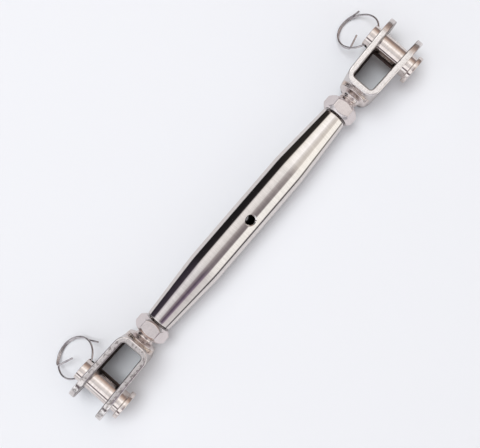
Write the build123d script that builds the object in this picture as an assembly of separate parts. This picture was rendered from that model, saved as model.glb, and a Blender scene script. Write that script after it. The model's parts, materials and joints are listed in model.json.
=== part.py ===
from build123d import *
import os
from math import asin, atan2, cos, degrees, hypot, radians, sin, sqrt, tan

# Closed-body jaw and jaw rigging turnbuckle. Millimetres, +X along the body's axis, +Z up.
# The origin is the middle of the cross hole, halfway along the body. The turnbuckle lies on
# the lower edges of its two forks, with the clevis pins across it and their split rings at +Y.

# ---- driving dimensions ----
# threads and running fits
thread_d = 10.0            # outside diameter of both studs' threads
thread_clearance = 0.05    # radial, stud in body and in lock nut
swivel_clearance = 0.05    # radial and axial, stud's spigot and collar in the fork
pin_clearance = 0.08       # radial, clevis pin in the fork's ears

# body
body_length = 137.0
body_d = 18.2              # straight middle
body_end_d = 13.5          # after swaging
body_taper = 35.0          # length of each swaged end
body_blend = 90.0          # radius where the taper leaves the straight middle
body_end_chamfer = 0.5
chamber_d = 13.2           # hollow middle
tapped_length = 27.0       # tapped bore at each end
cross_hole_d = 5.0         # for the bar that turns the body
cross_hole_chamfer = 0.4
cross_hole_tilt = 16.0     # degrees that the hole leans towards -Y as the body lies

# forks, bent from flat strap
strap_width = 26.6
strap_thickness = 3.4
jaw_gap = 13.4             # between the ears at the clevis pin
ear_splay = 1.5            # degrees, each ear outwards
jaw_depth = 26.1           # clevis pin centre to the strap's inner base face
bend_outer_r = 6.4
bend_inner_r = 1.6
strap_edge_r = 0.5

# studs and the weld that joins each to its fork
stud_thread_length = 67.0  # from the collar's small end inwards
stud_tip_chamfer = 1.2
collar_length = 3.0
collar_small_d = 9.6
collar_large_d = 16.2
spigot_d = 8.0             # passes through the strap's base
weld_d = 16.8
weld_thickness = 0.35      # under the collar, over the strap's flat
weld_reach = 3.0           # how far the weld runs round the strap's bends

# lock nuts
nut_flats = 16.0
nut_height = 8.0
nut_face_d = 14.4          # flat of each face, inside the 45 degree chamfer of the corners
nut_bore_chamfer = 0.7
nut_gap = 0.8              # from the body's end face as it lies
thread_showing = {"right": 3.4, "left": 1.1}  # between the lock nut and the collar
nut_turn = {"right": 4.6, "left": 0.0}  # degrees about +X

# clevis pins
pin_d = 12.0
pin_head_d = 15.6
pin_head_thickness = 2.5
pin_head_round = 0.6
pin_head_gap = 3.1         # end play between the head and the ear
pin_end_chamfer = 0.45
ring_hole_gap = 0.45       # between the ear and the pin's cross hole
ring_hole_wall = 0.45      # between the cross hole and the pin's end

# split rings
wire_d = 1.0
ring_d = 23.0              # outside
ring_coil_gap = 0.03       # between overlapping coils
ring_hole_clearance = 0.05
tail_flare = 17.5          # degrees that the outer tail leaves its tangent
# angle where the coil starts and ends, counted round the ring from +X, tail lengths, and
# which side of the ring's plane the second coil lies on
rings = {
    "right": {"start": 56.0, "end": 554.5, "outer_tail": 4.3, "inner_tail": 8.9, "climb": -1},
    "left": {"start": 10.0, "end": 511.0, "outer_tail": 6.8, "inner_tail": 9.8, "climb": 1},
}

# ---- sizes that follow ----
body_half = body_length / 2
splay_slope = tan(radians(ear_splay))
strap_offset = strap_thickness / cos(radians(ear_splay))  # measured across the splayed ear
ear_outer_y = jaw_gap / 2 + strap_offset                  # at the clevis pin
ear_r = strap_width / 2
ring_r = (ring_d - wire_d) / 2                            # to the wire's centre line
ring_slant = asin(pin_d / 2 / ring_r)                     # of the wire where it leaves the pin
ring_bow = ring_r * (1 - cos(ring_slant))                 # of the wire's arc across the pin
ring_hole_r = ring_bow / 2 + wire_d / 2 / cos(ring_slant) + ring_hole_clearance
ring_hole_y = ear_outer_y + ring_hole_gap + ring_hole_r
pin_end_y = ring_hole_y + ring_hole_r + ring_hole_wall
sides = {"right": 1, "left": -1}
# each clevis pin's axis from the origin, adding up the pieces from the body's end
fork_length = jaw_depth + strap_thickness + weld_thickness + swivel_clearance + collar_length
pin_reach = {s: body_half + nut_gap + nut_height + thread_showing[s] + fork_length for s in sides}


def placed(solid, side):
    """Move a solid modelled at the right end, with the clevis pin's axis at X = 0, to its end."""
    turn = 0 if side == "right" else 180
    return Location((sides[side] * pin_reach[side], 0, 0), (0, 0, turn)) * solid


def turned(points):
    """A solid of revolution about the X axis from its (x, radius) outline."""
    return revolve(make_face(Polyline(*points, close=True)), Axis.X)


def along_y(radius, y0, y1):
    """A round bar along Y."""
    return Pos(0, y0, 0) * extrude(Plane.XZ * Circle(radius), -(y1 - y0))


def body_tube():
    """Hollow round body, swaged at both ends, tapped bores, cross hole."""
    taper_x = body_half - body_taper
    outside = FilletPolyline(
        (-body_half, body_end_d / 2), (-taper_x, body_d / 2), (taper_x, body_d / 2),
        (body_half, body_end_d / 2), radius=body_blend,
    )
    closing = Polyline((body_half, body_end_d / 2), (body_half, 0), (-body_half, 0),
                       (-body_half, body_end_d / 2))
    tube = revolve(make_face(outside + closing), Axis.X)
    tube = chamfer(tube.edges().filter_by(GeomType.CIRCLE).group_by(Axis.X)[0], body_end_chamfer)
    tube = chamfer(tube.edges().filter_by(GeomType.CIRCLE).group_by(Axis.X)[-1], body_end_chamfer)

    bore_r = thread_d / 2 + thread_clearance
    chamber_x = body_half - tapped_length
    step = chamber_d / 2 - bore_r  # the chamber closes onto the bore at 45 degrees
    hollow = turned([
        (-body_half, 0), (-body_half, bore_r), (-chamber_x, bore_r),
        (-chamber_x + step, chamber_d / 2), (chamber_x - step, chamber_d / 2),
        (chamber_x, bore_r), (body_half, bore_r), (body_half, 0),
    ])
    hole = Cylinder(cross_hole_d / 2, 2 * body_d)
    mouth_z = sqrt((body_d / 2) ** 2 - (cross_hole_d / 2) ** 2)  # lowest point of the hole's rim
    mouth_r = cross_hole_d / 2 + cross_hole_chamfer
    mouth = Pos(0, 0, mouth_z) * Cone(0, 2 * mouth_r, 2 * mouth_r)  # 45 degree countersink
    hole += [mouth, Rot(180, 0, 0) * mouth]
    return tube - hollow - Rot(cross_hole_tilt, 0, 0) * hole


def fork_blank():
    """The U of the strap, pin axis at X = 0 and base towards -X, without its pin holes."""
    base_x = -jaw_depth
    tip_x = ear_r + strap_thickness
    inner_base_y = jaw_gap / 2 - jaw_depth * splay_slope
    inner_tip_y = jaw_gap / 2 + tip_x * splay_slope
    outer_x = base_x - strap_thickness
    outer_base_y = inner_base_y + strap_offset - strap_thickness * splay_slope
    outer_tip_y = inner_tip_y + strap_offset

    def section(x, base_y, tip_y, radius):
        face = make_face(Polyline((tip_x, tip_y), (x, base_y), (x, -base_y), (tip_x, -tip_y), close=True))
        return fillet(face.vertices().group_by(Axis.X)[0], radius)

    strap = section(outer_x, outer_base_y, outer_tip_y, bend_outer_r)
    strap -= section(base_x, inner_base_y, inner_tip_y, bend_inner_r)
    strap = extrude(strap, ear_r, both=True)
    outline = Plane.XZ * (Pos(outer_x / 2, 0) * Rectangle(-outer_x, strap_width) + Circle(ear_r))
    return strap & extrude(outline, 2 * outer_tip_y, both=True)


def is_strap_edge(edge):
    """True on the outline of the strap, and not where its flats run into the bends."""
    return abs(edge.center().Z) > 0.1 or edge.center().X > 0


def spigot_hole():
    """Running hole for the stud's spigot, longer than the strap and weld together."""
    length = 4 * (strap_thickness + weld_reach)
    hole = Cylinder(spigot_d / 2 + swivel_clearance, length, rotation=(0, 90, 0))
    return Pos(-jaw_depth - strap_thickness, 0, 0) * hole


def fork():
    """Bent strap fork with rounded edges, the pin's holes and the hole for the stud."""
    strap = fork_blank()
    strap = fillet(strap.edges().filter_by(is_strap_edge), strap_edge_r)
    strap -= along_y(pin_d / 2 + pin_clearance, -2 * ear_outer_y, 2 * ear_outer_y)
    return strap - spigot_hole()


def weld():
    """Weld metal between the collar and the strap: a thin disc with a lobe round each bend."""
    face_x = -jaw_depth - strap_thickness
    r = weld_d / 2
    bead = turned([
        (face_x - weld_thickness, 0), (face_x - weld_thickness, r - weld_thickness), (face_x, r),
        (face_x + weld_reach / 2, r), (face_x + weld_reach, r - weld_thickness), (face_x + weld_reach, 0),
    ])
    return bead - fork_blank() - spigot_hole()


def stud():
    """Threaded stud with its flared collar, and the spigot that passes through the strap."""
    collar_x = -jaw_depth - strap_thickness - weld_thickness - swivel_clearance
    cone_x = collar_x - collar_length
    tip_x = cone_x - stud_thread_length
    r = thread_d / 2
    return turned([
        (tip_x, 0), (tip_x, r - stud_tip_chamfer), (tip_x + stud_tip_chamfer, r),
        (cone_x - (r - collar_small_d / 2), r), (cone_x, collar_small_d / 2),
        (collar_x - weld_thickness, collar_large_d / 2), (collar_x, collar_large_d / 2),
        (collar_x, spigot_d / 2), (-jaw_depth - swivel_clearance, spigot_d / 2),
        (-jaw_depth - swivel_clearance, 0),
    ])


def lock_nut(side):
    """Hexagon nut with both faces' corners chamfered, one flat upwards."""
    across_corners = nut_flats / cos(radians(30))
    blank = extrude(Plane.YZ * RegularPolygon(across_corners / 2, 6), nut_height)
    rim = across_corners / 2 + 0.1  # just clear of the corners
    drop = rim - nut_face_d / 2
    blank &= turned([
        (0, 0), (0, nut_face_d / 2), (drop, rim), (nut_height - drop, rim),
        (nut_height, nut_face_d / 2), (nut_height, 0),
    ])
    bore = thread_d / 2 + thread_clearance
    blank -= turned([
        (0, 0), (0, bore + nut_bore_chamfer), (nut_bore_chamfer, bore),
        (nut_height - nut_bore_chamfer, bore), (nut_height, bore + nut_bore_chamfer), (nut_height, 0),
    ])
    flat_up = 90 if blank.bounding_box().size.Z > across_corners - 0.1 else 0
    near_x = body_half + nut_gap
    start_x = near_x if side == "right" else -near_x - nut_height
    return Pos(start_x, 0, 0) * Rot(nut_turn[side] + flat_up, 0, 0) * blank


def clevis_pin():
    """Headed pin with a chamfered end and a cross hole for the split ring."""
    head_y = -ear_outer_y - pin_head_gap
    head = fillet(along_y(pin_head_d / 2, head_y - pin_head_thickness, head_y).edges(), pin_head_round)
    shank = along_y(pin_d / 2, head_y - pin_head_thickness / 2, pin_end_y)
    shank = chamfer(shank.faces().sort_by(Axis.Y)[-1].edges(), pin_end_chamfer)
    hole = Cylinder(ring_hole_r, 2 * pin_d, rotation=(0, 90, 0))
    return head + shank - Pos(0, ring_hole_y, 0) * hole


def split_ring(side):
    """Wire ring through the pin, leaning until its far side meets the surface below."""
    ring = rings[side]
    pitch = wire_d + ring_coil_gap
    sweep_angle = ring["end"] - ring["start"]
    centre_line = Helix(pitch, pitch * sweep_angle / 360, ring_r)
    wire = sweep((centre_line ^ 0) * Circle(wire_d / 2), path=centre_line, is_frenet=True)

    # straight tails: the outer one leaves the coil's start, the inner one turns to the centre
    def tail(start, angle, length):
        lean = Location(start) * Rot(0, 0, angle) * Rot(0, 90, 0)
        rod = lean * Pos(0, 0, length / 2) * Cylinder(wire_d / 2, length)
        return rod + Pos(start) * Sphere(wire_d / 2)

    wire += tail(centre_line @ 0, -90 + tail_flare, ring["outer_tail"])
    wire += tail(centre_line @ 1, sweep_angle + 180, ring["inner_tail"])
    # the coil crosses the ring's middle plane where it passes through the pin, at 270 degrees
    wire = Rot(0, 0, ring["start"]) * Pos(0, 0, -pitch * (270 - ring["start"]) / 360) * wire
    if ring["climb"] < 0:
        wire = mirror(wire, about=Plane.XY)

    to_centre = ring_r - ring_bow / 2
    far_side = to_centre + ring_r
    drop = ear_r - wire_d / 2
    lean = degrees(asin(drop / hypot(far_side, pitch / 2)) - atan2(pitch / 2, far_side))
    hole = Location((sides[side] * pin_reach[side], ring_hole_y, 0), (-lean, 0, 0))
    return hole * Pos(0, to_centre, 0) * wire


# ---- the nodes ----
os.makedirs("parts", exist_ok=True)
nodes = {"body_tube": body_tube()}
for side, way in sides.items():
    nodes[f"{side}_stud"] = placed(stud(), side)
    nodes[f"{side}_fork"] = placed(fork(), side)
    nodes[f"{side}_weld"] = placed(weld(), side)
    nodes[f"{side}_lock_nut"] = lock_nut(side)
    nodes[f"{side}_clevis_pin"] = Pos(way * pin_reach[side], 0, 0) * clevis_pin()
    nodes[f"{side}_split_ring"] = split_ring(side)
for name, solid in nodes.items():
    export_step(solid, f"parts/{name}.step")
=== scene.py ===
import json

import bmesh
import bpy
import numpy as np
from mathutils import Matrix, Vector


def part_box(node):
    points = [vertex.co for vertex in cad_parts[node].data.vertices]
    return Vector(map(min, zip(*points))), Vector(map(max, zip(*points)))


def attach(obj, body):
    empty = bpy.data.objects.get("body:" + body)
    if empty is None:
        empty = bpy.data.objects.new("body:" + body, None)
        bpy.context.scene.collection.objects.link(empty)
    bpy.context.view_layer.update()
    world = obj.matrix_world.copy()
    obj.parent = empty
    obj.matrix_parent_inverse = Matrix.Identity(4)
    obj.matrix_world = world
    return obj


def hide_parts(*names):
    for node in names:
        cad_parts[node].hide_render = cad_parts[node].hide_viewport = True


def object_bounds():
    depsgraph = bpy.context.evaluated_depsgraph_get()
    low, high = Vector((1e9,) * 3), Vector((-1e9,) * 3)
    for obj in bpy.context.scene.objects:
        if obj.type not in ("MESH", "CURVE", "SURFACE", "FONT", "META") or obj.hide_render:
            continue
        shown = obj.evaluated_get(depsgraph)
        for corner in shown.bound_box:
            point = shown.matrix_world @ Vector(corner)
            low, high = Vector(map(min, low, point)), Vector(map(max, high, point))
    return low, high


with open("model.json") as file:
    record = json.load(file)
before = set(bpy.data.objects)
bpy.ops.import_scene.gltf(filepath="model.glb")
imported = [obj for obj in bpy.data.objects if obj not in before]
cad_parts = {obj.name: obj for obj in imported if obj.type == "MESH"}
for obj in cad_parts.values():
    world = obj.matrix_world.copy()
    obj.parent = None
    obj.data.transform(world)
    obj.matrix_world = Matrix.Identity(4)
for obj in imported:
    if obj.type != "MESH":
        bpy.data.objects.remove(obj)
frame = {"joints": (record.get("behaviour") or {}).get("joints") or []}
cadLow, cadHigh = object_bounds()

mm = 0.001
deg = np.pi / 180
ends = {"right": 1, "left": -1}
joints = {joint["name"]: joint for joint in frame["joints"]}
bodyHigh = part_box("body_tube")[1]


def unit(v):
    return v / np.linalg.norm(v, axis=-1, keepdims=True)


# polyline whose corners are arcs: each arc touches both legs, radius / tan(half the inner angle)
# back from its corner; a radius of 0 keeps the point
def softCorners(points, radii, steps=4):
    p = np.array(points, float)
    out = []
    for i, radius in enumerate(radii):
        if radius == 0:
            out.append(p[i:i + 1])
            continue
        a, b = unit(p[i - 1] - p[i]), unit(p[i + 1] - p[i])
        half = np.arccos(np.clip(a @ b, -1, 1)) / 2
        centre = p[i] + unit(a + b) * radius / np.sin(half)
        fromA, fromB = p[i] + a * radius / np.tan(half) - centre, p[i] + b * radius / np.tan(half) - centre
        turn = np.pi - 2 * half
        t = np.linspace(0, 1, steps + 1)[:, None]
        out.append(centre + (np.sin((1 - t) * turn) * fromA + np.sin(t * turn) * fromB) / np.sin(turn))
    return np.vstack(out)


# the same polyline with no step longer than the limit, so that quads stay near square
def evenly(points, limit):
    pieces = []
    for a, b in zip(points[:-1], points[1:]):
        count = max(1, int(np.ceil(np.linalg.norm(b - a) / limit)))
        pieces.append(a + (b - a) * np.arange(count)[:, None] / count)
    return np.vstack(pieces + [points[-1:]])


# points (along, radius, angle) on a round piece whose axis is X; angle 0 is +Z, growing to -Y
def aroundX(along, radius, angle):
    return np.stack(np.broadcast_arrays(along, -radius * np.sin(angle), radius * np.cos(angle)), -1)


# the same with the axis along Y; angle 0 is +X, growing to +Z
def aroundY(along, radius, angle):
    return np.stack(np.broadcast_arrays(radius * np.cos(angle), along, radius * np.sin(angle)), -1)


# a profile of (along, radius) points turned through the angles
def lathe(profile, angles, place=aroundX):
    along, radius = profile[:, 0, None], profile[:, 1, None]
    return place(along, radius, angles[None, :])


# boundary of a rectangle, counter-clockwise from its lowest corner, evenly divided
def rectangleLoop(u0, u1, v0, v1, cells):
    t = np.linspace(0, 1, cells + 1)[:-1]
    u, v = u0 + (u1 - u0) * t, v0 + (v1 - v0) * t
    low, high = np.full(cells, 0.0), np.full(cells, 1.0)
    loop = np.stack([
        np.concatenate([u, u0 + (u1 - u0) * high, u[::-1] + (u1 - u0) / cells, u0 + low]),
        np.concatenate([v0 + low, v, v0 + (v1 - v0) * high, v[::-1] + (v1 - v0) / cells]),
    ], -1)
    return np.vstack([loop, loop[:1]])


# straight lines from each rim point to its boundary point, closer together near the rim
def spokes(rim, loop, rows=5):
    f = np.linspace(0, 1, rows)[:, None, None] ** 1.6
    return rim[None] * (1 - f) + loop[None] * f


# sheets are grids of points, sewn where their edges meet; edges over the sharp angle stay crisp;
# marks are values kept on the points, such as wear, one grid for each sheet
def sewn(name, sheets, sharp=34, marks=None):
    points, faces = [], []
    start = 0
    for sheet in sheets:
        rows, columns = sheet.shape[:2]
        index = start + np.arange(rows * columns).reshape(rows, columns)
        quad = np.stack([index[:-1, :-1], index[:-1, 1:], index[1:, 1:], index[1:, :-1]], -1)
        points.append(sheet.reshape(-1, 3))
        faces.append(quad.reshape(-1, 4))
        start += rows * columns
    mesh = bpy.data.meshes.new(name)
    mesh.from_pydata(np.vstack(points).tolist(), [], np.vstack(faces).tolist())
    for label, grids in (marks or {}).items():
        values = np.concatenate([np.ravel(grid) for grid in grids])
        mesh.attributes.new(label, "FLOAT", "POINT").data.foreach_set("value", values)
    work = bmesh.new()
    work.from_mesh(mesh)
    bmesh.ops.remove_doubles(work, verts=work.verts, dist=2e-6)
    bmesh.ops.dissolve_degenerate(work, edges=work.edges, dist=1e-7)
    bmesh.ops.recalc_face_normals(work, faces=work.faces)
    work.to_mesh(mesh)
    work.free()
    mesh.shade_smooth()
    mesh.set_sharp_from_angle(angle=sharp * deg)
    piece = bpy.data.objects.new(name, mesh)
    bpy.context.scene.collection.objects.link(piece)
    return piece


def fit(piece, body, node, material):
    piece.data.materials.append(material)
    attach(piece, body)
    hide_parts(node)


class Wire:
    # a node's output; arithmetic on it adds Math nodes
    def __init__(self, graph, socket):
        self.graph, self.socket = graph, socket

    def math(self, operation, a, b=0.0):
        return self.graph.add("ShaderNodeMath", {"operation": operation}, {0: a, 1: b})

    def __add__(self, other):
        return self.math("ADD", self, other)

    def __radd__(self, other):
        return self.math("ADD", other, self)

    def __sub__(self, other):
        return self.math("SUBTRACT", self, other)

    def __rsub__(self, other):
        return self.math("SUBTRACT", other, self)

    def __mul__(self, other):
        return self.math("MULTIPLY", self, other)

    def __rmul__(self, other):
        return self.math("MULTIPLY", other, self)

    def __truediv__(self, other):
        return self.math("DIVIDE", self, other)

    def __rtruediv__(self, other):
        return self.math("DIVIDE", other, self)

    def __abs__(self):
        return self.math("ABSOLUTE", self)

    def root(self):
        return self.math("SQRT", self)

    # 0 below low, 1 above high, smooth in between
    def step(self, low, high):
        return self.graph.add(
            "ShaderNodeMapRange", {"interpolation_type": "SMOOTHSTEP"},
            {"Value": self, "From Min": low, "From Max": high, "To Min": 0.0, "To Max": 1.0})


class Graph:
    def __init__(self, tree):
        self.tree = tree

    # settings first, then values or links for the sockets, by name or number
    def add(self, kind, settings=None, sockets=None, out=0):
        node = self.tree.nodes.new(kind)
        for key, value in (settings or {}).items():
            if key == "stops":
                ramp = node.color_ramp
                while len(ramp.elements) > 1:
                    ramp.elements.remove(ramp.elements[-1])
                ramp.elements[0].position, ramp.elements[0].color = value[0]
                for place, colour in value[1:]:
                    ramp.elements.new(place).color = colour
            else:
                setattr(node, key, value)
        for key, value in (sockets or {}).items():
            if isinstance(value, Wire):
                self.tree.links.new(value.socket, node.inputs[key])
            else:
                node.inputs[key].default_value = value
        return Wire(self, node.outputs[out])

    def mix(self, amount, a, b):
        return self.add("ShaderNodeMix", {"data_type": "RGBA"}, {0: amount, 6: a, 7: b}, out=2)

    def axis(self, vector, letter):
        return self.add("ShaderNodeSeparateXYZ", None, {0: vector}, out="XYZ".index(letter))

    def noise(self, vector, stretch, detail=3.0):
        scaled = self.add("ShaderNodeMapping", None, {"Vector": vector, "Scale": stretch})
        return self.add("ShaderNodeTexNoise", None,
                        {"Vector": scaled, "Scale": 1.0, "Detail": detail, "Roughness": 0.55})


def rgb(red, green, blue):
    return (red, green, blue, 1.0)


# a new material with its graph, its shader node and its object coordinates
def newSurface(name, metallic=1.0):
    material = bpy.data.materials.new(name)
    material.use_nodes = True
    graph = Graph(material.node_tree)
    shader = material.node_tree.nodes["Principled BSDF"]
    shader.inputs["Metallic"].default_value = metallic
    where = graph.add("ShaderNodeTexCoord", None, None, out=3)
    return material, graph, shader, where


def feed(graph, shader, **inputs):
    names = {"colour": "Base Color", "roughness": "Roughness", "normal": "Normal"}
    for key, wire in inputs.items():
        graph.tree.links.new(wire.socket, shader.inputs[names[key]])


cameraSet = {
    "place": (-19.08 * mm, -11.14 * mm, 337.36 * mm),
    "turns": (("X", 2.024), ("Y", -2.476), ("Z", -49.273)),
    "lens": 49.74,
}

cameraData = bpy.data.cameras.new("camera")
cameraData.lens = cameraSet["lens"]
cameraData.sensor_width = 36
cameraData.clip_start, cameraData.clip_end = 0.01, 10
camera = bpy.data.objects.new("camera", cameraData)
pose = Matrix.Translation(cameraSet["place"])
for axisName, angle in cameraSet["turns"]:
    pose = pose @ Matrix.Rotation(angle * deg, 4, axisName)
camera.matrix_world = pose
bpy.context.scene.collection.objects.link(camera)
bpy.context.scene.camera = camera

floorSet = {
    "size": 6.0,
    "colour": rgb(0.80, 0.833, 0.875),
    # a grey card that only mirrored rays see, so that the metal shows its own shadow;
    # painted shade makes it darker under the jaws
    "card": {"x": (-0.35, 0.35), "y": (-0.058, 0.072), "colour": rgb(0.66, 0.66, 0.68)},
    "cardLift": 0.02 * mm,
    "jawShade": {
        "x": (83 * mm, 119 * mm), "y": 7.5 * mm, "soft": (3 * mm, 1 * mm), "colour": rgb(0.085, 0.062, 0.058)},
}


# a flat square; the shade is a painted dark patch either side of the middle
def makeFloor(name, xRange, yRange, z, colour, shade=None):
    mesh = bpy.data.meshes.new(name)
    (x0, x1), (y0, y1) = xRange, yRange
    mesh.from_pydata([(x0, y0, z), (x1, y0, z), (x1, y1, z), (x0, y1, z)], [], [(0, 1, 2, 3)])
    material, graph, shader, where = newSurface(name, 0.0)
    shader.inputs["Base Color"].default_value = colour
    shader.inputs["Roughness"].default_value = 0.75
    if shade:
        alongX, acrossY = abs(graph.axis(where, "X")), abs(graph.axis(where, "Y"))
        (near, far), half = shade["x"], shade["y"]
        softX, softY = shade["soft"]
        dark = (alongX - near).step(0.0, softX) * (far - alongX).step(0.0, softX) * (half - acrossY).step(0.0, softY)
        feed(graph, shader, colour=graph.mix(dark, colour, shade["colour"]))
    mesh.materials.append(material)
    piece = bpy.data.objects.new(name, mesh)
    bpy.context.scene.collection.objects.link(piece)
    return piece


reach = floorSet["size"] / 2
floor = makeFloor("floor", (-reach, reach), (-reach, reach), cadLow.z, floorSet["colour"])
floor.visible_glossy = False
cardSet = floorSet["card"]
cardZ = cadLow.z + floorSet["cardLift"]
card = makeFloor("mirrorCard", cardSet["x"], cardSet["y"], cardZ, cardSet["colour"], floorSet["jawShade"])
card.visible_camera = card.visible_diffuse = card.visible_shadow = card.visible_transmission = False

# what the polished metal mirrors. Round the body: by the direction's angle from the zenith,
# + towards +Y, with one colour for the -X end, one for the middle and one for the +X end.
# Beyond the body's ends: by the angle from the zenith, + towards +X.
roomSet = {
    "strength": 1.0,
    "backdrop": rgb(0.84, 0.86, 0.90),
    "bands": [
        (-180, (0.50, 0.50, 0.52), (0.50, 0.50, 0.52), (0.46, 0.46, 0.47)),
        (-112, (0.56, 0.56, 0.57), (0.60, 0.60, 0.61), (0.58, 0.57, 0.57)),
        (-107, (0.12, 0.11, 0.12), (0.12, 0.11, 0.12), (0.22, 0.20, 0.19)),
        (-96, (0.12, 0.11, 0.12), (0.12, 0.11, 0.12), (0.25, 0.23, 0.21)),
        (-91, (0.72, 0.70, 0.70), (1.00, 0.98, 0.95), (1.10, 1.08, 1.03)),
        (-50, (0.66, 0.62, 0.63), (1.05, 1.03, 1.00), (1.10, 1.06, 1.00)),
        (-42, (0.26, 0.20, 0.27), (0.22, 0.19, 0.20), (0.74, 0.69, 0.64)),
        (-26, (0.09, 0.065, 0.10), (0.24, 0.21, 0.22), (0.70, 0.65, 0.61)),
        (-8, (0.30, 0.25, 0.28), (0.40, 0.36, 0.36), (0.86, 0.82, 0.80)),
        (1, (0.68, 0.66, 0.67), (0.78, 0.75, 0.74), (1.16, 1.13, 1.12)),
        (30, (0.84, 0.82, 0.84), (0.92, 0.89, 0.88), (1.08, 1.05, 1.01)),
        (43, (0.60, 0.56, 0.60), (0.84, 0.80, 0.79), (0.94, 0.89, 0.83)),
        (50, (0.05, 0.04, 0.055), (0.018, 0.016, 0.017), (0.03, 0.025, 0.022)),
        (100, (0.03, 0.025, 0.035), (0.012, 0.011, 0.012), (0.02, 0.018, 0.017)),
        (107, (0.34, 0.33, 0.35), (0.40, 0.40, 0.41), (0.36, 0.36, 0.36)),
        (180, (0.50, 0.50, 0.52), (0.50, 0.50, 0.52), (0.46, 0.46, 0.47)),
    ],
    "bandPlaces": (-0.24, 0.05, 0.34),
    "endBands": [
        (-180, (0.42, 0.42, 0.44)),
        (-94, (0.40, 0.40, 0.42)),
        (-86, (0.62, 0.62, 0.64)),
        (-74, (1.05, 1.05, 1.08)),
        (-66, (1.12, 1.12, 1.16)),
        (-62, (0.11, 0.08, 0.10)),
        (-53, (0.13, 0.10, 0.105)),
        (-48, (1.08, 1.07, 1.10)),
        (-16, (0.94, 0.91, 0.90)),
        (20, (0.95, 0.92, 0.90)),
        (32, (0.90, 0.86, 0.84)),
        (44, (0.74, 0.63, 0.57)),
        (58, (0.46, 0.355, 0.31)),
        (72, (0.29, 0.22, 0.195)),
        (88, (0.27, 0.235, 0.225)),
        (96, (0.36, 0.36, 0.37)),
        (180, (0.42, 0.42, 0.44)),
    ],
    # the direction's X where the ends take over from the bands
    "endStart": {"right": (0.41, 0.52), "left": (0.33, 0.42)},
}

world = bpy.data.worlds.new("studio")
bpy.context.scene.world = world
world.use_nodes = True
graph = Graph(world.node_tree)
direction = graph.add("ShaderNodeTexCoord")
dirX, dirY, dirZ = (graph.axis(direction, letter) for letter in "XYZ")


def skyRamp(across, bands):
    place = graph.add("ShaderNodeMath", {"operation": "ARCTAN2"}, {0: across, 1: dirZ}) / (2 * np.pi) + 0.5
    stops = [(angle / 360 + 0.5, rgb(*colour)) for angle, colour in bands]
    return graph.add("ShaderNodeValToRGB", {"stops": stops}, {0: place})


skies = [skyRamp(dirY, [(band[0], band[k]) for band in roomSet["bands"]]) for k in (1, 2, 3)]
leftPlace, middlePlace, rightPlace = roomSet["bandPlaces"]
bodySky = graph.mix(dirX.step(leftPlace, middlePlace), skies[0], skies[1])
bodySky = graph.mix(dirX.step(middlePlace, rightPlace), bodySky, skies[2])
beyond = dirX.step(*roomSet["endStart"]["right"]) + (0 - dirX).step(*roomSet["endStart"]["left"])
mirrored = graph.mix(beyond, bodySky, skyRamp(dirX, roomSet["endBands"]))
isCamera = graph.add("ShaderNodeLightPath")
seen = graph.mix(isCamera, mirrored, roomSet["backdrop"])
background = world.node_tree.nodes["Background"]
world.node_tree.links.new(seen.socket, background.inputs["Color"])
background.inputs["Strength"].default_value = roomSet["strength"]

lightSet = {"place": (-0.05, 0.46, 1.75), "size": 1.05, "power": 17.0}
lamp = bpy.data.lights.new("key", "AREA")
lamp.shape, lamp.size, lamp.energy = "DISK", lightSet["size"], lightSet["power"]
key = bpy.data.objects.new("key", lamp)
bpy.context.scene.collection.objects.link(key)
key.location = lightSet["place"]
key.rotation_euler = (-np.arctan2(lightSet["place"][1], lightSet["place"][2]), 0, 0)
key.visible_glossy = False
bpy.context.scene.view_settings.view_transform = "Standard"
print("camera, floor and light ready")


# steel: fine stretched grain and broad clouds change its colour, roughness and height a little
def steel(name, s):
    material, graph, shader, where = newSurface(name)
    fine = graph.noise(where, s["grain"], 2.0)
    broad = graph.noise(where, s["clouds"], 3.0)
    tone = (fine * 0.5 + broad * 0.5).step(0.30, 0.70)
    colour = graph.mix(tone, s["dark"], s["light"])
    roughness = s["rough"] + s["spread"] * (broad * 0.5 + fine * 0.5)
    height = fine * s["grainHeight"] + broad * s["cloudHeight"]
    return material, graph, shader, where, colour, roughness, height


def finishSteel(parts, colour=None, roughness=None):
    material, graph, shader, _, ownColour, ownRoughness, height = parts
    bump = graph.add("ShaderNodeBump", None, {"Height": height, "Strength": 1.0, "Distance": 1.0})
    feed(graph, shader, colour=colour or ownColour, roughness=roughness or ownRoughness, normal=bump)
    return material


# straw, brown, violet and blue films of welded stainless steel, by how hot it was
def heatTint(graph, colour, heat, strength):
    film = graph.add("ShaderNodeValToRGB", {"stops": [
        (0.0, rgb(1.0, 1.0, 1.0)), (0.25, rgb(1.0, 0.86, 0.62)), (0.5, rgb(0.82, 0.50, 0.34)),
        (0.68, rgb(0.50, 0.26, 0.42)), (0.84, rgb(0.30, 0.30, 0.66)), (1.0, rgb(0.52, 0.52, 0.60))]}, {0: heat})
    tinted = graph.add("ShaderNodeMix", {"data_type": "RGBA", "blend_type": "MULTIPLY"},
                       {0: strength, 6: colour, 7: film}, out=2)
    return tinted


# body: mirror polish with fine lines round it; the cross hole and the end faces are rougher, and painted shade makes
# them dark
bodyFinish = {
    "light": rgb(0.90, 0.87, 0.85), "dark": rgb(0.80, 0.77, 0.75), "rough": 0.03, "spread": 0.10,
    "grain": (2600, 90, 90), "clouds": (420, 120, 120), "grainHeight": 0.0000024, "cloudHeight": 0.000006,
    "holeRadius": 8.35 * mm, "holeReach": 4 * mm, "endRim": 0.42 * mm, "inside": rgb(0.06, 0.055, 0.055),
    "rimSoft": 0.4 * mm, "reachSoft": 0.2 * mm, "endSoft": 0.12 * mm, "insideDull": 0.35,
}
parts = steel("body_polish", bodyFinish)
material, graph, shader, where, colour, roughness, height = parts
alongX, acrossY, acrossZ = (graph.axis(where, letter) for letter in "XYZ")
fromAxis = (acrossY * acrossY + acrossZ * acrossZ).root()
inHole = (bodyFinish["holeRadius"] - fromAxis).step(0.0, bodyFinish["rimSoft"])
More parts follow.
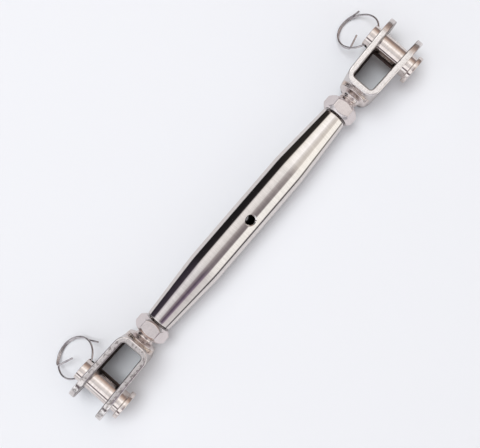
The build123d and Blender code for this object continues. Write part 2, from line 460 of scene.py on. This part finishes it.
inHole = inHole * (bodyFinish["holeReach"] - abs(alongX)).step(0.0, bodyFinish["reachSoft"])
onEnd = (abs(alongX) - bodyHigh.x + bodyFinish["endRim"]).step(0.0, bodyFinish["endSoft"])
# painted shade: the cross hole's walls and the end faces get a near black colour; the same mask makes them rougher
inside = inHole + onEnd
bodyPolish = finishSteel(
    parts, graph.mix(inside, colour, bodyFinish["inside"]), roughness + inside * bodyFinish["insideDull"])

# lock nuts: turned and tumbled, slightly pink
nutSatin = finishSteel(steel("nut_satin", {
    "light": rgb(0.90, 0.85, 0.85), "dark": rgb(0.80, 0.75, 0.75), "rough": 0.08, "spread": 0.10,
    "grain": (700, 2600, 2600), "clouds": (170, 260, 260), "grainHeight": 0.000003, "cloudHeight": 0.000016,
}))

# forks: tumbled strap, mottled, brighter where its edges are worn, heat tint round the weld
parts = steel("fork_satin", {
    "light": rgb(0.90, 0.88, 0.87), "dark": rgb(0.70, 0.67, 0.66), "rough": 0.09, "spread": 0.18,
    "grain": (1500, 1500, 1500), "clouds": (520, 520, 520), "grainHeight": 0.000012, "cloudHeight": 0.000065,
})
material, graph, shader, where, colour, roughness, height = parts
wear = graph.add("ShaderNodeAttribute", {"attribute_name": "wear"}, None, out=2)
heat = graph.add("ShaderNodeAttribute", {"attribute_name": "heat"}, None, out=2)
patchy = graph.noise(where, (300, 300, 300), 3.0)
spots = graph.noise(where, (520, 520, 520), 4.0)
# the -X fork is the more pitted of the two
pitted = 0.80 - 0.60 * graph.axis(where, "X").step(-0.04, 0.04)
colour = graph.mix(spots.step(0.46, 0.64) * pitted, colour, rgb(0.34, 0.31, 0.30))
colour = graph.mix((wear * (0.4 + patchy)).step(0.45, 1.0), colour, rgb(0.95, 0.93, 0.93))
film = (heat * (0.55 + 0.75 * patchy)).step(0.0, 1.0)
# painted shade: the strap's inner faces, between the ears, are darkened; they are also made rougher
inner = graph.add("ShaderNodeAttribute", {"attribute_name": "inner"}, None, out=2)
innerShadeAndDull = (inner * (0.8 + 0.4 * patchy)).step(0.3, 0.9)
colour = graph.mix(innerShadeAndDull * 0.75, colour, rgb(0.24, 0.22, 0.215))
forkSatin = finishSteel(parts, heatTint(graph, colour, film, 0.5), roughness - 0.04 * wear + 0.12 * innerShadeAndDull)

# studs: rolled thread, collar lightly browned towards the weld
parts = steel("stud_steel", {
    "light": rgb(0.92, 0.87, 0.85), "dark": rgb(0.76, 0.70, 0.68), "rough": 0.16, "spread": 0.14,
    "grain": (1600, 1600, 1600), "clouds": (300, 300, 300), "grainHeight": 0.000003, "cloudHeight": 0.000010,
})
material, graph, shader, where, colour, roughness, height = parts
heat = graph.add("ShaderNodeAttribute", {"attribute_name": "heat"}, None, out=2)
patchy = graph.noise(where, (260, 260, 260), 2.0)
studSteel = finishSteel(parts, heatTint(graph, colour, heat * (0.05 + 0.70 * patchy), 0.5))

# weld: rippled bead with straw to violet films
parts = steel("weld_metal", {
    "light": rgb(0.88, 0.82, 0.81), "dark": rgb(0.70, 0.64, 0.63), "rough": 0.11, "spread": 0.16,
    "grain": (1500, 1500, 1500), "clouds": (350, 350, 350), "grainHeight": 0.000005, "cloudHeight": 0.000010,
})
material, graph, shader, where, colour, roughness, height = parts
patchy = graph.noise(where, (190, 190, 190), 2.0)
weldMetal = finishSteel(parts, heatTint(graph, colour, (patchy - 0.40) * 1.6, 0.45))

# clevis pins: bright turned bar, fine turning marks round them
pinPolish = finishSteel(steel("pin_polish", {
    "light": rgb(0.95, 0.905, 0.88), "dark": rgb(0.77, 0.70, 0.66), "rough": 0.02, "spread": 0.05,
    "grain": (200, 5200, 200), "clouds": (240, 420, 240), "grainHeight": 0.0000007, "cloudHeight": 0.0000025,
}))

# split rings: drawn spring wire
ringWire = finishSteel(steel("ring_wire", {
    "light": rgb(0.86, 0.84, 0.85), "dark": rgb(0.36, 0.34, 0.36), "rough": 0.05, "spread": 0.08,
    "grain": (2500, 2500, 2500), "clouds": (300, 300, 300), "grainHeight": 0.000003, "cloudHeight": 0.000004,
}))
print("materials ready")


bodySet = {
    "endDiameter": 13.5 * mm,
    "taper": 35 * mm,
    "blend": 90 * mm,
    "endRound": 0.55 * mm,
    "bore": 10.1 * mm,
    "boreRound": 0.4 * mm,
    "tapped": 27 * mm,
    "chamber": 13.2 * mm,
    "hole": 5.0 * mm,
    "holeRim": 5.8 * mm,
    "holeTilt": 16 * deg,
    "longestStep": 2.5 * mm,
    "columns": 96,
    "holeCells": 16,
}


# body: one half's profile turned about X and mirrored, with a band left out round the cross hole;
# unrolled, the band's patches run in straight lines from the hole's rim to the band's border
def makeBody():
    s = bodySet
    half, r = bodyHigh.x, bodyHigh.z
    cell = 2 * np.pi / s["columns"]
    around = s["holeTilt"] + cell * np.arange(s["columns"] + 1)
    patchAngle = s["holeCells"] / 2 * cell
    patchX = r * patchAngle
    endR, boreR, roomR = s["endDiameter"] / 2, s["bore"] / 2, s["chamber"] / 2
    roomX = half - s["tapped"]
    slope = roomR - boreR
    outline = softCorners(
        [(patchX, roomR), (roomX - slope, roomR), (roomX, boreR), (half, boreR), (half, endR),
         (half - s["taper"], r), (patchX, r)],
        [0, 0, 0, s["boreRound"], s["endRound"], s["blend"], 0], 7)
    outline = evenly(outline, s["longestStep"])
    sheets = [lathe(outline * (way, 1), around) for way in (1, -1)]

    bandX = np.linspace(-patchX, patchX, s["holeCells"] + 1)
    halfTurn = s["columns"] // 2
    freeAngles = around[s["holeCells"] // 2:halfTurn - s["holeCells"] // 2 + 1]
    loop = rectangleLoop(-patchX, patchX, -patchAngle, patchAngle, s["holeCells"])
    theta = np.arctan2(loop[:, 1] * r, loop[:, 0])
    across, alongX = np.sin(theta), np.cos(theta)
    # the 45 degree countersink opens from the hole's own radius at the lowest point of its rim
    drop = np.sqrt(r ** 2 - (s["hole"] / 2) ** 2) - s["holeRim"] / 2
    rimR = (np.sqrt(drop ** 2 - (1 + across ** 2) * (drop ** 2 - r ** 2)) - drop) / (1 + across ** 2)
    holeR = np.full_like(theta, s["hole"] / 2)
    rings = [(rimR, np.sqrt(r ** 2 - (rimR * across) ** 2)), (holeR, drop + holeR),
             (holeR, np.sqrt(roomR ** 2 - (holeR * across) ** 2))]
    for side in (0, 1):
        shift = side * np.pi
        for radius in (r, roomR):
            sheets.append(aroundX(bandX[:, None], radius, (freeAngles + shift)[None, :]))
        turn = s["holeTilt"] + shift
        for radius, rim in ((r, rimR), (roomR, holeR)):
            rimPlace = np.stack([rim * alongX, np.arcsin(rim * across / radius)], -1)
            patch = spokes(rimPlace, loop)
            sheets.append(aroundX(patch[..., 0], radius, patch[..., 1] + turn))
        wall = np.stack([
            np.stack([ringR * alongX, ringR * across, height], -1) for ringR, height in rings])
        x, t, h = wall[..., 0], wall[..., 1], wall[..., 2]
        sheets.append(np.stack([
            x, -(h * np.sin(turn) + t * np.cos(turn)), h * np.cos(turn) - t * np.sin(turn)], -1))
    fit(sewn("bodyTube", sheets), "body", "body_tube", bodyPolish)


makeBody()
print("body tube made")


studSet = {
    "diameter": 10 * mm,
    "rootDiameter": 8.16 * mm,
    "pitch": 1.5 * mm,
    "rootFlat": 0.16,    # share of the pitch
    "flankShare": 0.70,    # of the pitch, both flanks together
    "length": 67 * mm,
    "tipChamfer": 1.2 * mm,
    "collarSmall": 9.6 * mm,
    "collarLarge": 16.2 * mm,
    "collarLength": 3.0 * mm,
    "collarRim": 0.45 * mm,
    "spigot": 8 * mm,
    "spigotLength": 3.75 * mm,
    "columns": 64,
    "perPitch": 10,
}


# thread: a 60 degree groove with a flat crest and a round root, carried round the axis while it
# moves along by one pitch a turn; the columns shear with it, so crests follow grid lines
def makeStud(side):
    s = studSet
    way = ends[side]
    low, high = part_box(f"{side}_stud")
    # worked out for the right end, with x growing outwards
    spigotEnd = high.x if way > 0 else -low.x
    backX = spigotEnd - s["spigotLength"]
    coneX = backX - s["collarLength"]
    tipX = coneX - s["length"]
    crest, root = s["diameter"] / 2, s["rootDiameter"] / 2
    angles = np.linspace(0, 2 * np.pi, s["columns"] + 1)
    turns = int(s["length"] / s["pitch"]) + 2
    i = np.arange(-s["perPitch"], turns * s["perPitch"] + 1)[:, None]
    j = np.arange(s["columns"] + 1)[None, :]
    along = tipX + s["pitch"] * (i / s["perPitch"] + j / s["columns"])
    phase = (i % s["perPitch"]) / s["perPitch"]
    flank = np.clip((np.abs(phase - 0.5) * 2 - s["rootFlat"]) / s["flankShare"], 0, 1)
    radius = root + (crest - root) * flank + 0 * j
    radius = np.minimum(radius, crest - s["tipChamfer"] + np.clip(along - tipX, 0, 1))
    fade = np.clip((coneX - along) / (0.5 * s["pitch"]), 0, 1)
    neck = s["collarSmall"] / 2
    radius = neck + (radius - neck) * fade
    along = np.clip(along, tipX, coneX)
    thread = aroundX(along, radius, angles[None, :])
    tip = lathe(np.array([(tipX, 0), (tipX, crest - s["tipChamfer"])]), angles)
    rim = s["collarRim"]
    collar = softCorners(
        [(coneX, neck), (coneX + 1.0 * mm, neck), (backX - rim, s["collarLarge"] / 2),
         (backX, s["collarLarge"] / 2), (backX, s["spigot"] / 2),
         (spigotEnd, s["spigot"] / 2), (spigotEnd, 0)],
        [0, 1.5 * mm, 0.4 * mm, 0.12 * mm, 0, 0.2 * mm, 0], 8)
    sheets = [thread, tip, lathe(collar, angles)]
    heat = [np.clip((sheet[..., 0] - coneX) / s["collarLength"], 0, 1) for sheet in sheets]
    if way < 0:
        # the left end is its mirror image, so its thread is left-handed
        sheets = [sheet * (-1, 1, 1) for sheet in sheets]
    node = f"{side}_stud"
    fit(sewn(f"{side}Stud", sheets, 30, marks={"heat": heat}), node, node, studSteel)


for side in ends:
    makeStud(side)
print("studs made")


nutSet = {
    "flats": 16 * mm,
    "faceDiameter": 14.4 * mm,
    "cornerRound": 0.35 * mm,
    "bore": 10.1 * mm,
    "boreChamfer": 0.7 * mm,
    "edge": 0.09 * mm,
    "turn": {"right": 4.6 * deg, "left": 0.0},
    "columnsPerSide": 22,
}


# hexagon radius by the angle from the middle of a flat, its corners rounded by an arc that
# touches both flats
def hexagonRadius(angle, inner, rounding):
    a = np.abs((angle + np.pi / 6) % (np.pi / 3) - np.pi / 6)
    flat = inner / np.cos(a)
    centre = (inner - rounding) / np.cos(np.pi / 6)
    tangent = np.arctan2(centre * np.sin(np.pi / 6), inner)
    off = np.pi / 6 - a
    arc = centre * np.cos(off) + np.sqrt(np.clip(rounding ** 2 - (centre * np.sin(off)) ** 2, 0, 1))
    return np.where(a > tangent, arc, flat)


# nut: rows of (distance from the low face, radius) round the axis; a 45 degree chamfer starts at
# the face's circle and is as deep as the hexagon stands out past that circle
def makeNut(side):
    s = nutSet
    node = f"{side}_lock_nut"
    low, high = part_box(node)
    inner = s["flats"] / 2
    # columns crowd towards the corners of each flat
    t = np.linspace(-1, 1, s["columnsPerSide"] + 1)[:-1]
    oneSide = np.sin(t * np.pi / 2) * np.pi / 6
    angles = np.concatenate([oneSide + k * np.pi / 3 for k in range(6)] + [oneSide[:1] + 2 * np.pi])
    r = hexagonRadius(angles, inner, s["cornerRound"])
    faceR, boreR, edge = s["faceDiameter"] / 2, s["bore"] / 2, s["edge"]
    depth = r - faceR
    zero = 0 * angles
    rows = [
        (s["boreChamfer"] + zero, boreR + zero),
        (zero, boreR + s["boreChamfer"] + zero),
        (zero, faceR - 3 * edge + zero),
        (zero, faceR - edge + zero),
        (edge + zero, faceR + edge + zero),
        (3 * edge + zero, faceR + 3 * edge + zero),
        (depth - 3 * edge, r - 3 * edge),
        (depth - edge, r - edge),
        (depth + edge, r),
        (depth + 3 * edge, r),
    ]
    height = high.x - low.x
    rows += [(height - x, radius) for x, radius in rows[::-1]]
    rows.append(rows[0])
    along = low.x + np.stack([row[0] for row in rows])
    radius = np.stack([row[1] for row in rows])
    # one flat faces up before the nut's own turn about X
    sheet = aroundX(along, radius, (angles + s["turn"][side])[None, :])
    fit(sewn(f"{side}LockNut", [sheet], 50), node, node, nutSatin)


for side in ends:
    makeNut(side)
print("lock nuts made")


pinSet = {
    "diameter": 12 * mm,
    "headThickness": 2.5 * mm,
    "headRound": 0.6 * mm,
    "neckRound": 0.15 * mm,
    "endRound": 0.3 * mm,
    "hole": 3.0736 * mm,
    "bandReach": 1.35,    # of the hole's radius
    "longestStep": 2 * mm,
    "columns": 96,
    "holeCells": 16,
}


# pin: head and tip profiles turned about Y, with a band between them for the split ring's hole
def makePin(side):
    s = pinSet
    node = f"{side}_clevis_pin"
    low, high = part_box(node)
    middleX = (low.x + high.x) / 2
    headR, r, holeR = (high.x - low.x) / 2, s["diameter"] / 2, s["hole"] / 2
    holeY = joints[f"{side}_ring_swing"]["pos_m"][1]
    cell = 2 * np.pi / s["columns"]
    angles = cell * np.arange(s["columns"] + 1)
    patchAngle = s["holeCells"] / 2 * cell
    bandLow, bandHigh = holeY - s["bandReach"] * holeR, high.y - s["endRound"]
    headY = low.y + s["headThickness"]
    head = softCorners(
        [(low.y, 0), (low.y, headR), (headY, headR), (headY, r), (bandLow, r)],
        [0, s["headRound"], s["headRound"], s["neckRound"], 0], 6)
    tip = softCorners([(bandHigh, r), (high.y, r), (high.y, 0)], [0, 0.97 * s["endRound"], 0], 5)
    sheets = [lathe(evenly(profile, s["longestStep"]), angles, aroundY) for profile in (head, tip)]
    bandY = np.linspace(bandLow, bandHigh, s["holeCells"] + 1)
    free = angles[s["holeCells"] // 2:s["columns"] // 2 - s["holeCells"] // 2 + 1]
    loop = rectangleLoop(bandLow, bandHigh, -patchAngle, patchAngle, s["holeCells"])
    theta = np.arctan2(loop[:, 1] * r, loop[:, 0] - holeY)
    rimY, rimT = holeR * np.cos(theta), holeR * np.sin(theta)
    rim = np.stack([holeY + rimY, np.arcsin(rimT / r)], -1)
    for shift in (0, np.pi):
        sheets.append(aroundY(bandY[:, None], r, (free + shift)[None, :]))
        patch = spokes(rim, loop, 4)
        sheets.append(aroundY(patch[..., 0], r, patch[..., 1] + shift))
    # the hole's wall runs from one rim to the other; at the far side +Z turns to -Z
    reachX = np.sqrt(r ** 2 - rimT ** 2)
    share = np.linspace(-1, 1, 9)[:, None]
    sheets.append(np.stack(np.broadcast_arrays(share * reachX, holeY + rimY, rimT), -1))
    sheets = [sheet + (middleX, 0, 0) for sheet in sheets]
    fit(sewn(f"{side}ClevisPin", sheets, 40), node, node, pinPolish)


for side in ends:
    makePin(side)
print("clevis pins made")


ringSet = {
    "wire": 1.0 * mm,
    "diameter": 23 * mm,
    "pitch": 1.03 * mm,
    "pinDiameter": 12 * mm,
    "flare": 17.5 * deg,
    "bend": 1.1 * mm,
    "facets": 20,
    "steps": 260,
    "inPin": 270,    # degrees round the coil, where it passes through the pin
    "turns": {
        "right": {"start": 56, "end": 554.5, "outerTail": 4.3 * mm, "innerTail": 8.9 * mm, "climb": -1},
        "left": {"start": 10, "end": 511, "outerTail": 6.8 * mm, "innerTail": 9.8 * mm, "climb": 1},
    },
}


# wire: a circle carried along straight tail, coil, bend and straight inner tail
def makeRing(side):
    s, turn = ringSet, ringSet["turns"][side]
    coilR = (s["diameter"] - s["wire"]) / 2
    t = np.linspace(turn["start"], turn["end"], s["steps"])
    rise = turn["climb"] * s["pitch"] * (t - s["inPin"]) / 360
    coil = np.stack([coilR * np.cos(t * deg), coilR * np.sin(t * deg), rise], -1)

    startWay = np.array([np.sin(t[0] * deg), -np.cos(t[0] * deg), 0])
    outward = unit(coil[0] * (1, 1, 0))
    tailWay = startWay * np.cos(s["flare"]) + outward * np.sin(s["flare"])
    outerTail = coil[0] + tailWay * turn["outerTail"] * np.linspace(1, 0.08, 8)[:, None]

    inward = -unit(coil[-1] * (1, 1, 0))
    forward = np.array([-np.sin(t[-1] * deg), np.cos(t[-1] * deg), 0])
    bend = s["bend"]
    keep = coil[:-int(bend / (coilR * (t[1] - t[0]) * deg))]
    back = keep[-1]
    q = np.linspace(0.12, np.pi / 2, 8)[:, None]
    corner = back + forward * bend * np.sin(q) + inward * bend * (1 - np.cos(q))
    innerEnd = coil[-1] + inward * turn["innerTail"]
    straight = corner[-1] + (innerEnd - corner[-1]) * np.linspace(0.1, 1, 8)[:, None]
    path = np.vstack([outerTail, keep, corner, straight])

    tangent = unit(np.gradient(path, axis=0))
    sideways = unit(np.cross(tangent, (0, 0, 1)))
    upwards = np.cross(sideways, tangent)
    # both cut ends close on their own centre, with a small broken edge
    last = len(path) - 1
    rows = np.concatenate([[0, 0, 0], np.arange(0, last + 1), [last, last, last]])
    full = s["wire"] / 2
    size = np.concatenate([[0, 0.85, 0.97], np.ones(last + 1), [0.97, 0.85, 0]]) * full
    push = np.zeros(len(rows))
    push[2], push[-3] = 0.03 * mm, -0.03 * mm
    push[3], push[-4] = 0.08 * mm, -0.08 * mm
    a = np.linspace(0, 2 * np.pi, s["facets"] + 1)
    circle = (sideways[rows, None] * np.cos(a)[None, :, None] + upwards[rows, None] * np.sin(a)[None, :, None])
    tube = path[rows, None] + tangent[rows, None] * push[:, None, None] + circle * size[:, None, None]

    # the coil's arc across the pin bows through the hole's middle; the ring then leans down
    slant = np.arcsin(s["pinDiameter"] / 2 / coilR)
    bow = coilR * (1 - np.cos(slant))
    toCentre = coilR - bow / 2
    farSide = toCentre + coilR
    drop = -cadLow.z - s["wire"] / 2
    leanAngle = np.arcsin(drop / np.hypot(farSide, s["pitch"] / 2)) - np.arctan2(s["pitch"] / 2, farSide)
    y, z = tube[..., 1] + toCentre, tube[..., 2]
    origin = joints[f"{side}_ring_swing"]["pos_m"]
    c, n = np.cos(leanAngle), np.sin(leanAngle)
    placed = np.stack([tube[..., 0], y * c + z * n, z * c - y * n], -1) + np.array(origin)

    node = f"{side}_split_ring"
    fit(sewn(f"{side}SplitRing", [placed], 50), node, node, ringWire)


for side in ends:
    makeRing(side)
print("split rings made")


forkSet = {
    "gap": 13.4 * mm,
    "thickness": 3.4 * mm,
    "splay": 1.5 * deg,
    "depth": 26.1 * mm,
    "outerBend": 6.4 * mm,
    "innerBend": 1.6 * mm,
    "edgeRound": 0.55 * mm,
    "pinHole": 12.16 * mm,
    "holeRound": 0.22 * mm,
    "spigotHole": 8.1 * mm,
    "wear": {"hole": 0.3, "face": 0.25, "wall": 0.55, "bevel": 0.6},
    "heat": {"radius": 8.4 * mm, "spread": 3.4 * mm, "depth": 1.2 * mm},
    "cellsAcross": 16,
    "cellsAlong": 14,
    "cellsTip": 28,
    "cellsBend": 14,
}


# the strap's outer and inner lines across its thickness, base towards -X, pin axis at X = 0
def forkLines():
    s = forkSet
    slope = np.tan(s["splay"])
    cross = s["thickness"] / np.cos(s["splay"])
    innerX, outerX = -s["depth"], -s["depth"] - s["thickness"]
    innerBaseY = s["gap"] / 2 + innerX * slope
    outerBaseY = s["gap"] / 2 + cross + outerX * slope
    back = np.tan((np.pi / 2 - s["splay"]) / 2)
    return {
        "slope": slope, "outerY": s["gap"] / 2 + cross, "innerX": innerX, "outerX": outerX,
        "innerFlat": innerBaseY - s["innerBend"] * back, "outerFlat": outerBaseY - s["outerBend"] * back,
    }


# how far the outer line has come round its bend at this distance from the middle
def bendDrop(y, lines):
    r = forkSet["outerBend"]
    past = np.clip(np.abs(y) - lines["outerFlat"], 0, r)
    return r - np.sqrt(r ** 2 - past ** 2)


# quarter rounds as (inset from the edge, share of the thickness), from the face down to the wall
def edgeRows(radius, steps=4):
    q = np.linspace(0, np.pi / 2, steps + 1)
    return radius * (1 - np.sin(q)), radius * (1 - np.cos(q)) / forkSet["thickness"]


def makeFork(side):
    s, lines = forkSet, forkLines()
    node = f"{side}_fork"
    pinLow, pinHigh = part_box(f"{side}_clevis_pin")
    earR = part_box(node)[1].z
    flatZ = earR - s["edgeRound"]
    inset, sink = edgeRows(s["edgeRound"])
    rimInset, rimSink = edgeRows(s["holeRound"], 3)

    # ear: x, z and share of the thickness, 0 outside and 1 inside, onto the splayed plane
    def ear(x, z, share):
        y = lines["outerY"] + x * lines["slope"] - share * s["thickness"] / np.cos(s["splay"])
        return np.stack(np.broadcast_arrays(x, y, z), -1)

    # base and bends: a line of outer points and one of inner points, mixed by the share
    def strap(outer, inner, z, share):
        xy = outer * (1 - share[..., None]) + inner * share[..., None]
        return np.stack(np.broadcast_arrays(xy[..., 0], xy[..., 1], z), -1)

    turnEnd = np.pi / 2 - s["splay"]
    earStart = lines["outerX"] + s["outerBend"] * (1 - np.cos(turnEnd))
    acrossZ = np.linspace(-flatZ, flatZ, s["cellsAcross"] + 1)

    # outline of the ear at one inset: up the bend's end, along +Z, round the tip, back along -Z
    def outline(inward):
        z = acrossZ[1:-1]
        edge = earR - inward
        x = np.linspace(earStart, 0, s["cellsAlong"] + 1)
        q = np.linspace(np.pi / 2, -np.pi / 2, s["cellsTip"] + 1)[1:-1]
        return np.vstack([
            np.stack([x, np.full_like(x, edge)], -1),
            edge * np.stack([np.cos(q), np.sin(q)], -1),
            np.stack([x[::-1], np.full_like(x, -edge)], -1),
            np.stack([np.full_like(z, earStart), z], -1),
            [(earStart, edge)],
        ])

    outer = outline(inset[0])
    real = 2 * (s["cellsAlong"] + 1) + s["cellsTip"] - 1  # outline points that lie on a real edge
    theta = np.arctan2(outer[:, 1], outer[:, 0])
    circle = np.stack([np.cos(theta), np.sin(theta)], -1)
    holeR = s["pinHole"] / 2
    rimRows = np.stack([circle * (holeR + d) for d in rimInset[::-1]])
    faceRows = spokes(circle * (holeR + rimInset[0]), outer, 7)[1:]
    xz = np.concatenate([rimRows, faceRows])
    share = np.concatenate([rimSink[::-1], np.zeros(len(faceRows))])[:, None]
    faceWear, bevelWear, wallWear = s["wear"]["face"], s["wear"]["bevel"], s["wear"]["wall"]
    worn = np.concatenate([
        np.linspace(1, bevelWear, len(rimRows)), [faceWear], np.zeros(len(faceRows) - 3),
        [faceWear, bevelWear]])[:, None]
    edgeLoops = np.stack([outline(d)[:real] for d in inset])
    edgeSink = sink[:, None]
    edgeWorn = np.concatenate([[bevelWear], np.ones(len(inset) - 1)])[:, None]
    sheets, wear, inner = [], [], []

    # one sheet with its wear, 1 on an edge, and its share of the thickness, 1 on the inside
    def keep(sheet, worn, share):
        sheets.append(sheet)
        wear.append(np.broadcast_to(worn, sheet.shape[:2]))
        inner.append(np.broadcast_to(share, sheet.shape[:2]))

    for hand in (1, -1):
        flip = (1, hand, 1)
        for depth in (share, 1 - share):
            keep(ear(xz[..., 0], xz[..., 1], depth) * flip, worn, depth)
        for depth in (edgeSink, 1 - edgeSink):
            keep(ear(edgeLoops[..., 0], edgeLoops[..., 1], depth) * flip, edgeWorn, depth)
        through = np.linspace(sink[-1], 1 - sink[-1], 5)[:, None]
        wallShare = through[1:-1, 0]
        wall = outline(0)[:real]
        keep(ear(wall[None, :, 0], wall[None, :, 1], through) * flip, wallWear, 0)
        through = np.linspace(rimSink[-1], 1 - rimSink[-1], 5)[:, None]
        keep(ear(circle[None, :, 0] * holeR, circle[None, :, 1] * holeR, through) * flip, s["wear"]["hole"], 1)

        # bend: the outer arc from above the inner flat's end; the inner arc, then straight
        startTurn = np.arcsin((lines["innerFlat"] - lines["outerFlat"]) / s["outerBend"])
        t = np.linspace(startTurn, turnEnd, s["cellsBend"] + 1)
        outerLine = np.stack([
            lines["outerX"] + s["outerBend"] * (1 - np.cos(t)), lines["outerFlat"] + s["outerBend"] * np.sin(t)], -1)
        arcCells = s["cellsBend"] - 4
        t = np.linspace(0, turnEnd, arcCells + 1)
        innerArc = np.stack([
            lines["innerX"] + s["innerBend"] * (1 - np.cos(t)), lines["innerFlat"] + s["innerBend"] * np.sin(t)], -1)
        goal = np.array([earStart, s["gap"] / 2 + earStart * lines["slope"]])
        innerLine = np.vstack([
            innerArc, innerArc[-1] + (goal - innerArc[-1]) * np.linspace(0.25, 1, 4)[:, None]])
        # section of the strap: inner face, both rounded edges and outer face, closed
        sideZ = flatZ + inset[0] - np.concatenate([inset, 0 * wallShare, inset[::-1]])
        sideShare = np.concatenate([sink, wallShare, 1 - sink[::-1]])
        sideInner = np.concatenate([sink, 0 * wallShare, 1 - sink[::-1]])
        bevels = np.ones(len(inset) - 1)
        sideWear = np.concatenate([bevels, 0 * wallShare + wallWear, bevels])
        sectionZ = np.concatenate([acrossZ, sideZ[1:-1], acrossZ[::-1], -sideZ[1:-1], acrossZ[:1]])
        sectionShare = np.concatenate([
            0 * acrossZ, sideShare[1:-1], 0 * acrossZ + 1, sideShare[::-1][1:-1], [0]])
        sectionInner = np.concatenate([
            0 * acrossZ, sideInner[1:-1], 0 * acrossZ + 1, sideInner[::-1][1:-1], [0]])
        faceWorn = np.concatenate([[bevelWear], 0 * acrossZ[2:], [bevelWear]])
        sectionWear = np.concatenate([faceWorn, sideWear, faceWorn, sideWear, [bevelWear]])
        bent = strap(outerLine[:, None], innerLine[:, None], sectionZ[None, :],
                     np.repeat(sectionShare[None, :], len(outerLine), 0))
        keep(bent * flip, sectionWear, sectionInner)

    # base: beside the spigot's hole the section runs straight across, with the hole's patch between
    cells = s["cellsAcross"] // 2
    lineY = np.linspace(-lines["innerFlat"], lines["innerFlat"], cells + 1)

    def base(y, z, share):
        x = lines["outerX"] + bendDrop(y, lines)
        x = x * (1 - share) + lines["innerX"] * share
        return np.stack(np.broadcast_arrays(x, y, z), -1)

    quarter = s["cellsAcross"] // 4
    edgeZ = np.concatenate([acrossZ[-quarter - 1:], sideZ[1:-1], acrossZ[-quarter - 1:][::-1]])
    edgeShare = np.concatenate([np.zeros(quarter + 1), sideShare[1:-1], np.ones(quarter + 1)])
    edgeInner = np.concatenate([np.zeros(quarter + 1), sideInner[1:-1], np.ones(quarter + 1)])
    edgeWear = np.concatenate([np.zeros(quarter), [bevelWear], sideWear, [bevelWear], np.zeros(quarter)])
    patchZ = acrossZ[-quarter - 1]
    loop = rectangleLoop(-lines["innerFlat"], lines["innerFlat"], -patchZ, patchZ, cells)
    theta = np.arctan2(loop[:, 1], loop[:, 0])
    rim = s["spigotHole"] / 2 * np.stack([np.cos(theta), np.sin(theta)], -1)
    patch = spokes(rim, loop, 5)
    for way in (1, -1):
        keep(base(lineY[:, None], way * edgeZ[None, :], edgeShare[None, :]), edgeWear, edgeInner)
    for depth in (0, 1):
        keep(base(patch[..., 0], patch[..., 1], depth), 0, depth)
    through = np.linspace(0, 1, 4)[:, None]
    keep(base(rim[None, :, 0], rim[None, :, 1], through), 0, 1)

    way = ends[side]
    pinX = (pinLow.x + pinHigh.x) / 2
    # heat: strongest at the weld's edge, on the outer face of the base and bends
    heat = []
    for sheet in sheets:
        away = np.hypot(sheet[..., 1], sheet[..., 2]) - s["heat"]["radius"]
        under = sheet[..., 0] - lines["outerX"] - bendDrop(sheet[..., 1], lines)
        heat.append(np.exp(-(away / s["heat"]["spread"]) ** 2) * np.clip(1 - under / s["heat"]["depth"], 0, 1))
    sheets = [sheet * (way, way, 1) + (pinX, 0, 0) for sheet in sheets]
    marks = {"wear": wear, "heat": heat, "inner": inner}
    fit(sewn(f"{side}Fork", sheets, 40, marks=marks), node, node, forkSatin)


for side in ends:
    makeFork(side)
print("forks made")


weldSet = {
    "diameter": 16.8 * mm,
    "thickness": 0.35 * mm,
    "hole": 8.1 * mm,
    "rimInset": 0.38 * mm,
    "toeInset": 0.12 * mm,
    "toeSwing": 0.08 * mm,
    "bulge": 0.10 * mm,
    "overlap": 0.02 * mm,
    "ripples": 46,
    "rippleHeight": 0.07 * mm,
    "columns": 276,
}


# bead: from the collar's rim it bulges outwards and comes down on the strap's bent face;
# its height and reach swing with the ripples of the torch
def makeWeld(side):
    s, lines = weldSet, forkLines()
    node = f"{side}_weld"
    pinLow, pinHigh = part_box(f"{side}_clevis_pin")
    a = np.linspace(0, 2 * np.pi, s["columns"] + 1)[None, :]
    outerR, holeR = s["diameter"] / 2, s["hole"] / 2
    frontX = lines["outerX"] - s["thickness"]

    def strapX(radius):
        return lines["outerX"] + bendDrop(radius * np.sin(a), lines)

    wave = np.sin(s["ripples"] * a + 0.9 * np.sin(3 * a) + 0.6 * np.sin(7 * a + 1))
    wander = 0.5 * np.sin(2 * a + 0.4) + 0.3 * np.sin(5 * a + 2) + 0.2 * np.sin(9 * a)
    toeR = outerR - s["toeInset"] + s["toeSwing"] * wander + 0.3 * s["rippleHeight"] * wave
    rimR = outerR - s["rimInset"]
    t = np.linspace(0, 1, 9)[:, None]
    startX, endX = frontX, strapX(toeR) + s["overlap"]
    swell = np.sin(np.pi * t ** 0.8) * (s["bulge"] + s["rippleHeight"] * (0.35 * wave + 0.3 * wander))
    x = startX + (endX - startX) * t - 0.35 * swell
    radius = np.minimum(rimR + (toeR - rimR) * np.sin(np.pi / 2 * t) ** 0.8 + 0.9 * swell, outerR)
    bead = np.stack(np.broadcast_arrays(x, radius * np.sin(a), radius * np.cos(a)), -1)
    back = toeR + (holeR - toeR) * np.linspace(0, 1, 8)[:, None]
    under = np.stack(np.broadcast_arrays(
        strapX(back) + s["overlap"] * (back > holeR + 1e-9), back * np.sin(a), back * np.cos(a)), -1)
    wallX = np.linspace(0, 1, 3)[:, None]
    wallX = strapX(holeR) * (1 - wallX) + frontX * wallX
    wall = np.stack(np.broadcast_arrays(wallX, holeR * np.sin(a), holeR * np.cos(a)), -1)
    front = holeR + (rimR - holeR) * np.linspace(0, 1, 5)[:, None]
    face = np.stack(np.broadcast_arrays(frontX, front * np.sin(a), front * np.cos(a)), -1)
    way = ends[side]
    pinX = (pinLow.x + pinHigh.x) / 2
    sheets = [sheet * (way, way, 1) + (pinX, 0, 0) for sheet in (bead, under, wall, face)]
    fit(sewn(f"{side}Weld", sheets, 50), f"{side}_fork", node, weldMetal)


for side in ends:
    makeWeld(side)
print("welds made")
